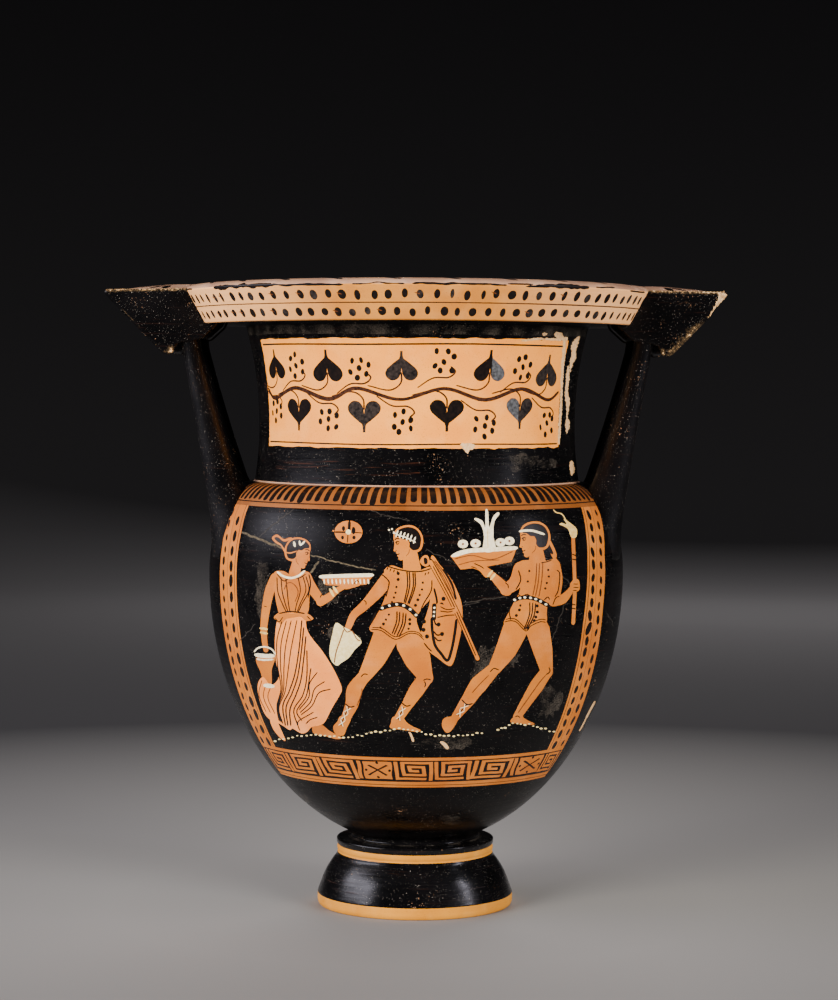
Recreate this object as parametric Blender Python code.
"""Column krater: a wheel-thrown clay bowl with a neck, a broad rim, a hollow ring foot and two column handles.

Metres, +Z up. The origin is the middle of the resting ring. The picture side looks along -Y and the handles
stand along X. The whole pot was luted together before it was fired, so it is one solid.
"""

import math

import bpy
import numpy as np

# Turned shapes
SEGMENTS = 48
CURVE_STEP = 0.020

# Foot
FOOT_RADIUS = 0.0790
FOOT_EDGE = 0.0020
FOOT_BAND_HEIGHT = 0.0097
ECHINUS_HEIGHT = 0.0324
ECHINUS_SET_IN = 0.0150
FILLET_HEIGHT = 0.0054
GROOVE_DEPTH = 0.0013
DISC_HEIGHT = 0.0068
DISC_ROUND = 0.0020
DISC_LEDGE = 0.0108
STEM_HEIGHT = 0.0050
FOOT_WALL = 0.0120
FLOOR_THICKNESS = 0.0100

# Body
BODY_RADIUS = 0.1666
BODY_DEPTH = 0.2200
SHOULDER_HEIGHT = 0.0735
WALL = 0.0080

# Neck
NECK_RADIUS = 0.1267
NECK_BASE_FLARE = 0.0036
NECK_BASE_HEIGHT = 0.0450
NECK_TOP_FLARE = 0.0108
NECK_TOP_HEIGHT = 0.0797
NECK_LEDGE = 0.0015

# Rim
RIM_OVERHANG = 0.0510
FASCIA_HEIGHT = 0.0275
FASCIA_LEAN = 0.0138
LIP_THICKNESS = 0.0110
RIM_THICKNESS = 0.0200
CROWN_HEIGHT = 0.0050
CROWN_SHARE = 0.80
MOUTH_ROUND = 0.0040
RIM_SAG = 0.0020

# Handles
PLATE_REACH = 0.0564
PLATE_WIDTH = 0.1052
PLATE_CROWN = 0.0060
PLATE_LIP_DROP = 0.0500
PLATE_LIP_SET_IN = 0.0460
PLATE_LIP_THICKNESS = 0.0050
PLATE_NOTCH_DEPTH = 0.0095
PLATE_CHEEK_DROP = 0.0385
COLUMN_SPACING = 0.0840
COLUMN_ROOT_SPACING = 0.0970
COLUMN_RADIUS = 0.0070
COLUMN_HALF_WIDTH = 0.0088
COLUMN_SET_IN = 0.0047
COLUMN_ROOT_RADIUS = 0.0210
COLUMN_ROOT_HALF_WIDTH = 0.0150
COLUMN_ROOT_SET_IN = 0.0290
COLUMN_ROOT_DEPTH = 0.0590
COLUMN_SIDES = 12
COLUMN_RINGS = 7

# Heights that the sizes above add up to
FILLET_BOTTOM = FOOT_BAND_HEIGHT + ECHINUS_HEIGHT
DISC_BOTTOM = FILLET_BOTTOM + FILLET_HEIGHT
DISC_TOP = DISC_BOTTOM + DISC_HEIGHT
STEM_TOP = DISC_TOP + STEM_HEIGHT
DISC_RADIUS = FOOT_RADIUS - ECHINUS_SET_IN
STEM_RADIUS = DISC_RADIUS - DISC_LEDGE - DISC_ROUND
# The lower body is a quarter ellipse, so the stem's radius says how far below the widest place it stops.
BODY_MAX_Z = STEM_TOP + BODY_DEPTH * math.sqrt(1 - (STEM_RADIUS / BODY_RADIUS) ** 2)
SHOULDER_TOP = BODY_MAX_Z + SHOULDER_HEIGHT
NECK_WAIST_Z = SHOULDER_TOP + NECK_BASE_HEIGHT
NECK_TOP = NECK_WAIST_Z + NECK_TOP_HEIGHT
RIM_EDGE_Z = NECK_TOP + FASCIA_HEIGHT
NECK_BASE_RADIUS = NECK_RADIUS + NECK_BASE_FLARE
NECK_TOP_RADIUS = NECK_RADIUS + NECK_TOP_FLARE
RIM_RADIUS = NECK_TOP_RADIUS + RIM_OVERHANG
MOUTH_RADIUS = NECK_TOP_RADIUS - WALL
PLATE_END = RIM_RADIUS + PLATE_REACH


def steps(length):
    """How many straight pieces a curve of this length is cut into."""
    return max(2, round(length / CURVE_STEP))


def ellipse(centre, across, up, start, end):
    """Points on an ellipse about centre, from one angle to another, measured from the outward direction."""
    count = steps(max(across, up) * abs(end - start))
    angles = np.linspace(start, end, count + 1)
    return np.column_stack([centre[0] + across * np.cos(angles), centre[1] + up * np.sin(angles)])


def parabola(low, high, waist_radius, waist_z):
    """Points of a curve from low to high that leaves the waist radius with the square of the height."""
    z = np.linspace(low[1], high[1], steps(high[1] - low[1]) + 1)
    end = high if abs(high[1] - waist_z) > abs(low[1] - waist_z) else low
    share = ((z - waist_z) / (end[1] - waist_z)) ** 2
    return np.column_stack([waist_radius + (end[0] - waist_radius) * share, z])


def foot_outline():
    """The ring foot from its resting edge up to the stem under the bowl."""
    echinus = parabola(
        (FOOT_RADIUS, FOOT_BAND_HEIGHT / 2), (DISC_RADIUS, FILLET_BOTTOM), FOOT_RADIUS, FOOT_BAND_HEIGHT / 2
    )
    return [
        (FOOT_RADIUS - FOOT_EDGE, 0),
        (FOOT_RADIUS, FOOT_EDGE),
        *echinus,
        (DISC_RADIUS - GROOVE_DEPTH, FILLET_BOTTOM + GROOVE_DEPTH),
        (DISC_RADIUS - GROOVE_DEPTH / 2, DISC_BOTTOM - GROOVE_DEPTH),
        (DISC_RADIUS - GROOVE_DEPTH, DISC_BOTTOM),
        (DISC_RADIUS, DISC_BOTTOM + GROOVE_DEPTH),
        (DISC_RADIUS, DISC_TOP - DISC_ROUND),
        (DISC_RADIUS - DISC_ROUND, DISC_TOP),
        (STEM_RADIUS, DISC_TOP),
    ]


def lower_body(inset=0.0):
    """The bowl from the stem, or from the axis for the inside, up to the widest place."""
    centre = (0, BODY_MAX_Z)
    across, up = BODY_RADIUS - inset, BODY_DEPTH - inset
    start = -math.pi / 2 if inset else -math.acos(STEM_RADIUS / BODY_RADIUS)
    return ellipse(centre, across, up, start, 0)


def shoulder_and_neck(inset=0.0):
    """From the widest place over the shoulder and up the neck to the rim."""
    base = NECK_BASE_RADIUS + (NECK_LEDGE if not inset else 0) - inset
    shoulder = ellipse((base, BODY_MAX_Z), BODY_RADIUS - inset - base, SHOULDER_HEIGHT - inset, 0, math.pi / 2)
    waist = NECK_RADIUS - inset
    foot = (NECK_BASE_RADIUS - inset, SHOULDER_TOP - inset / 2)
    lower_neck = parabola(foot, (waist, NECK_WAIST_Z), waist, NECK_WAIST_Z)
    upper_neck = parabola((waist, NECK_WAIST_Z), (NECK_TOP_RADIUS - inset, NECK_TOP), waist, NECK_WAIST_Z)
    start = 0 if not inset else 1
    return [*shoulder[1:], *lower_neck[start:], *upper_neck[1:]]


def rim_outline():
    """The undercut rim: its underside, the leaning fascia, the crowned top and the edge of the mouth."""
    under = RIM_EDGE_Z - RIM_THICKNESS
    lip_bottom = RIM_RADIUS - FASCIA_LEAN
    top_width = RIM_RADIUS - MOUTH_RADIUS
    crown_radius = MOUTH_RADIUS + top_width * CROWN_SHARE
    outer = ellipse(
        (crown_radius, RIM_EDGE_Z), RIM_RADIUS - crown_radius, CROWN_HEIGHT, 0, math.pi / 2
    )
    inner = ellipse(
        (crown_radius, RIM_EDGE_Z - MOUTH_ROUND),
        crown_radius - MOUTH_RADIUS,
        CROWN_HEIGHT + MOUTH_ROUND,
        math.pi / 2,
        math.pi,
    )
    return [
        (NECK_TOP_RADIUS + LIP_THICKNESS / 2, under),
        (lip_bottom - LIP_THICKNESS, under),
        (lip_bottom - LIP_THICKNESS / 2, NECK_TOP),
        (lip_bottom, NECK_TOP),
        *outer,
        *inner[1:],
    ]


def cavity_outline():
    """The inside of the bowl and the neck, carried on above the mouth so that it cuts clean."""
    return [
        *lower_body(WALL),
        *shoulder_and_neck(WALL),
        (MOUTH_RADIUS, RIM_EDGE_Z - MOUTH_ROUND),
        (MOUTH_RADIUS, RIM_EDGE_Z + CROWN_HEIGHT + WALL),
    ]


def hollow_foot_outline():
    """The hollow under the foot, from below the resting ring up to the floor of the bowl."""
    ceiling = BODY_MAX_Z - BODY_DEPTH + WALL - FLOOR_THICKNESS
    mouth = FOOT_RADIUS - FOOT_WALL
    top = STEM_RADIUS - FOOT_WALL / 2
    return [(mouth, -WALL), (mouth, 0), (top, ceiling - FOOT_EDGE), (top - FOOT_EDGE, ceiling)]


def sag(points):
    """The weight of the handle plates drew the rim down a little on both sides while the clay was soft."""
    span = RIM_EDGE_Z - NECK_WAIST_Z
    height = np.clip((points[:, 2] - NECK_WAIST_Z) / span, 0, 1)
    sunk = points.copy()
    sunk[:, 2] -= RIM_SAG * (points[:, 0] / PLATE_END) ** 2 * height**2 * (3 - 2 * height)
    return sunk


def mesh_object(name, points, faces, helper=True):
    mesh = bpy.data.meshes.new(name)
    mesh.from_pydata(sag(np.asarray(points, float)).tolist(), [], faces)
    mesh.validate()
    thing = bpy.data.objects.new(name, mesh)
    bpy.context.scene.collection.objects.link(thing)
    if helper:
        thing.hide_render = True
        thing.display_type = "WIRE"
    return thing


def turned(name, outline, helper=True):
    """A closed solid of revolution. The outline runs from bottom to top and is closed on the axis at both ends."""
    outline = np.asarray(outline, float)
    low, high = outline[0, 1], outline[-1, 1]
    outline = outline[outline[:, 0] > 1e-6]
    turns = np.arange(SEGMENTS) * 2 * math.pi / SEGMENTS
    rings = np.stack(
        [
            np.outer(outline[:, 0], np.cos(turns)),
            np.outer(outline[:, 0], np.sin(turns)),
            np.repeat(outline[:, 1:], SEGMENTS, axis=1),
        ],
        axis=2,
    )
    points = np.vstack([rings.reshape(-1, 3), [(0, 0, low), (0, 0, high)]])
    bottom, top = len(points) - 2, len(points) - 1
    last = (len(outline) - 1) * SEGMENTS
    faces = []
    for i in range(SEGMENTS):
        j = (i + 1) % SEGMENTS
        faces.append((bottom, j, i))
        faces.append((top, last + i, last + j))
        for ring in range(0, last, SEGMENTS):
            faces.append((ring + i, ring + j, ring + SEGMENTS + j, ring + SEGMENTS + i))
    return mesh_object(name, points, faces, helper)


def handle_plate(name, side):
    """The thick plate on the columns: crowned above, with a leaning outer face that ends in a lip, and cheeks."""
    half = PLATE_WIDTH / 2
    inner_x = RIM_RADIUS - RIM_OVERHANG / 2
    cheek_z = RIM_EDGE_Z - PLATE_CHEEK_DROP
    lip_z = RIM_EDGE_Z - PLATE_LIP_DROP
    lip_x = PLATE_END - PLATE_LIP_SET_IN
    notch_x = lip_x - PLATE_LIP_THICKNESS - PLATE_NOTCH_DEPTH * 0.6
    column_inner = RIM_RADIUS - COLUMN_SET_IN - 2 * COLUMN_RADIUS
    under = [
        (PLATE_END, RIM_EDGE_Z - FOOT_EDGE / 2),
        (lip_x, lip_z + FOOT_EDGE / 2),
        (lip_x - PLATE_LIP_THICKNESS, lip_z),
        (notch_x, cheek_z + (PLATE_LIP_DROP - PLATE_CHEEK_DROP - PLATE_NOTCH_DEPTH)),
        (column_inner, cheek_z),
        (column_inner - LIP_THICKNESS, NECK_TOP),
        (inner_x, NECK_TOP + LIP_THICKNESS),
    ]
    top_x = np.linspace(inner_x, PLATE_END - FOOT_EDGE / 2, 7)
    across = np.linspace(-1, 1, 9)
    points, rows = [], []
    for share in across:
        rows.append(len(points))
        reach = np.clip((PLATE_END - top_x) / PLATE_REACH, 0, 1)
        crown = PLATE_CROWN * (1 - share**2) * (1 - (1 - reach) ** 2)
        section = [*under, *zip(top_x, RIM_EDGE_Z + crown)]
        points += [(side * x, share * half, z) for x, z in section]
    size = len(points) // len(across)
    faces = [tuple(range(size)), tuple(rows[-1] + k for k in reversed(range(size)))]
    for first, second in zip(rows, rows[1:]):
        for k in range(size):
            n = (k + 1) % size
            faces.append((first + n, first + k, second + k, second + n))
    if side < 0:
        faces = [tuple(reversed(face)) for face in faces]
    return mesh_object(name, points, faces)


def plate_hollow(name, side):
    """The hollow between the cheeks, under the plate and behind its lip."""
    half = COLUMN_SPACING / 2 - COLUMN_HALF_WIDTH
    low_x = NECK_TOP_RADIUS + LIP_THICKNESS / 2
    high_x = PLATE_END - PLATE_LIP_SET_IN - PLATE_LIP_THICKNESS * 1.4
    low_z = RIM_EDGE_Z - PLATE_LIP_DROP - WALL
    high_z = RIM_EDGE_Z - RIM_THICKNESS
    points = [(side * x, y, z) for x in (low_x, high_x) for y in (-half, half) for z in (low_z, high_z)]
    faces = [(0, 1, 3, 2), (4, 6, 7, 5), (0, 4, 5, 1), (2, 3, 7, 6), (0, 2, 6, 4), (1, 5, 7, 3)]
    if side < 0:
        faces = [tuple(reversed(face)) for face in faces]
    return mesh_object(name, points, faces)


def column(name, side, front):
    """One leaning column: slim under the plate, spreading into a root on the shoulder."""
    top_z = RIM_EDGE_Z - RIM_THICKNESS
    root_z = SHOULDER_TOP - COLUMN_ROOT_DEPTH
    top_x = RIM_RADIUS - COLUMN_SET_IN
    root_x = BODY_RADIUS - COLUMN_ROOT_SET_IN
    turns = np.arange(COLUMN_SIDES) * 2 * math.pi / COLUMN_SIDES
    points = []
    for share in np.linspace(0, 1, COLUMN_RINGS):
        down = 1 - share
        middle_x = root_x + (top_x - root_x) * (share + 0.10 * share * down)
        middle_y = front * (COLUMN_ROOT_SPACING * down + COLUMN_SPACING * share) / 2
        spread = 0.2 * down + 0.8 * down**2
        radius = COLUMN_RADIUS + (COLUMN_ROOT_RADIUS - COLUMN_RADIUS) * spread
        half_width = COLUMN_HALF_WIDTH + (COLUMN_ROOT_HALF_WIDTH - COLUMN_HALF_WIDTH) * spread
        z = root_z + (top_z - root_z) * share
        ring = np.column_stack(
            [
                side * (middle_x + radius * np.cos(turns)),
                middle_y + half_width * np.sin(turns) * side,
                np.full(COLUMN_SIDES, z),
            ]
        )
        points += ring.tolist()
    last = len(points) - COLUMN_SIDES
    faces = [tuple(reversed(range(COLUMN_SIDES))), tuple(range(last, last + COLUMN_SIDES))]
    for ring in range(0, last, COLUMN_SIDES):
        for k in range(COLUMN_SIDES):
            n = (k + 1) % COLUMN_SIDES
            faces.append((ring + k, ring + n, ring + COLUMN_SIDES + n, ring + COLUMN_SIDES + k))
    return mesh_object(name, points, faces)


def black_gloss():
    """Black-gloss slip over orange clay, the pot's main surface."""
    material = bpy.data.materials.new("black_gloss")
    material.use_nodes = True
    shader = material.node_tree.nodes["Principled BSDF"]
    shader.inputs["Base Color"].default_value = (0.012, 0.011, 0.011, 1)
    shader.inputs["Roughness"].default_value = 0.22
    shader.inputs["Metallic"].default_value = 0.0
    return material


def apply_boolean(thing, other, operation):
    modifier = thing.modifiers.new(other.name, "BOOLEAN")
    modifier.operation = operation
    modifier.object = other
    modifier.solver = "EXACT"


def main():
    for thing in list(bpy.data.objects):
        bpy.data.objects.remove(thing)
    outline = [*foot_outline(), *lower_body()[:-1], (BODY_RADIUS, BODY_MAX_Z), *shoulder_and_neck(), *rim_outline()]
    krater = turned("krater", outline, helper=False)
    krater.data.materials.append(black_gloss())
    for side, hand in ((-1, "left"), (1, "right")):
        apply_boolean(krater, handle_plate(f"plate_{hand}", side), "UNION")
        apply_boolean(krater, plate_hollow(f"plate_hollow_{hand}", side), "DIFFERENCE")
        for front, place in ((-1, "front"), (1, "back")):
            apply_boolean(krater, column(f"column_{hand}_{place}", side, front), "UNION")
    apply_boolean(krater, turned("cavity", cavity_outline()), "DIFFERENCE")
    apply_boolean(krater, turned("foot_hollow", hollow_foot_outline()), "DIFFERENCE")
    krater.data.shade_smooth()
    krater.data.set_sharp_from_angle(angle=math.radians(35))


main()
